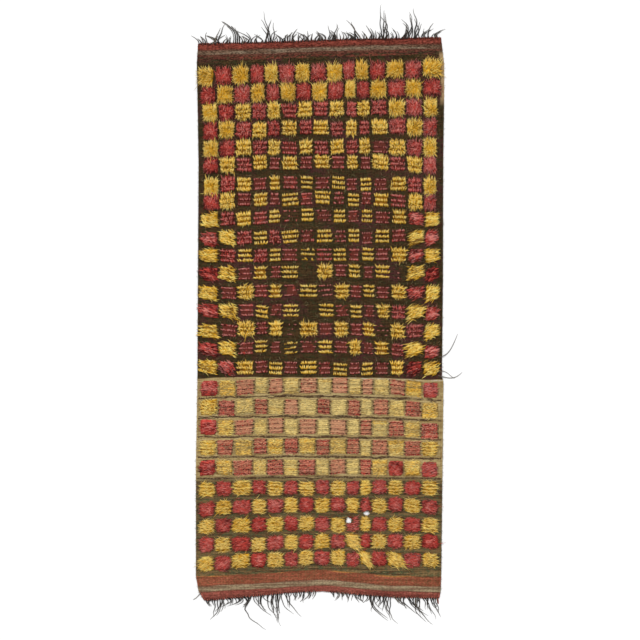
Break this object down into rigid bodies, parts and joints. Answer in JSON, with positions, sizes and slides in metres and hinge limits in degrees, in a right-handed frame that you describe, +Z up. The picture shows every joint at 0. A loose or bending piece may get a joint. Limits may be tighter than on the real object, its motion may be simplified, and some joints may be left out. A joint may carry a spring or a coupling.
{
  "type": "shaggy kilim runner rug",
  "caption": "Long hand-woven runner rug with yellow and red knotted pile blocks on a brown and khaki woven ground, striped flat-woven ends and dark loose warp ends.",
  "frame": {"origin": "the middle of the underside, on the floor", "axes": "+X across the rug to its right-hand edge, +Y along the rug to its far end, +Z up from the floor"},
  "size_m": [1.2164, 2.8277, 0.014],
  "materials": {
    "wool_pile": "hand-spun wool, ochre yellow and crimson red pile on a dark brown and khaki ground, matt and fuzzy",
    "warp_yarn": "plied dark brown wool yarn, matt"
  },
  "bodies": {
    "root": {"rug_body": "wool_pile", "fringe_top": "warp_yarn", "fringe_bottom": "warp_yarn"}
  },
  "joints": []
}
